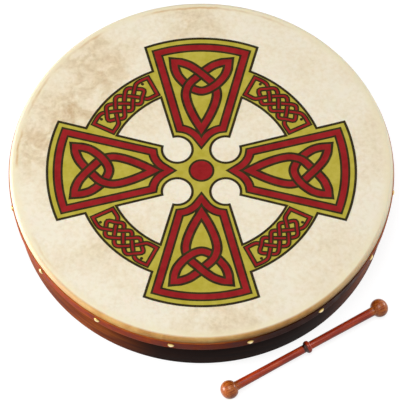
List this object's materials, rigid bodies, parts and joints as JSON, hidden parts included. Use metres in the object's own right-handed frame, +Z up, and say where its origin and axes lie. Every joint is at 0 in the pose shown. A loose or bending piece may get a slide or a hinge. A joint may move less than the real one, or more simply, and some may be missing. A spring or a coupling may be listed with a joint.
{
  "type": "bodhran",
  "caption": "Shallow round frame drum with a tacked goatskin head, a dark bent-wood shell, an open back with a cross brace, and a turned double-ended wooden tipper lying beside it.",
  "frame": {"origin": "centre of the shell's open rear edge, on the plane that the drum and the tipper rest on", "axes": "+Z up, along the drum's axis towards the head; -Y towards the side that is seen from the front; +X to the right, so the tipper lies at the front right"},
  "size_m": [0.46, 0.5037, 0.076],
  "materials": {
    "stained_bent_wood": "gloss lacquer over a dark red-brown stain",
    "goatskin": "dried rawhide, satin, mottled",
    "trim_leather": "satin",
    "brass": "aged, polished",
    "oiled_wood": "oiled",
    "zinc_steel": "zinc plated",
    "turned_hardwood": "gloss lacquer, turned"
  },
  "bodies": {
    "drum": {"shell_hoop": "stained_bent_wood", "goatskin_head": "goatskin", "trim_band": "trim_leather", "trim_tacks": "brass", "crossbar_lower": "oiled_wood", "crossbar_upper": "oiled_wood", "crossbar_dowels": "oiled_wood", "crossbar_screw": "zinc_steel"},
    "tipper": {"tipper": "turned_hardwood"}
  },
  "joints": [
    {"name": "tipper_lift", "type": "slide", "parent": "drum", "child": "tipper", "axis": [0, 0, 1], "range_m": [0, 0.15]}
  ]
}
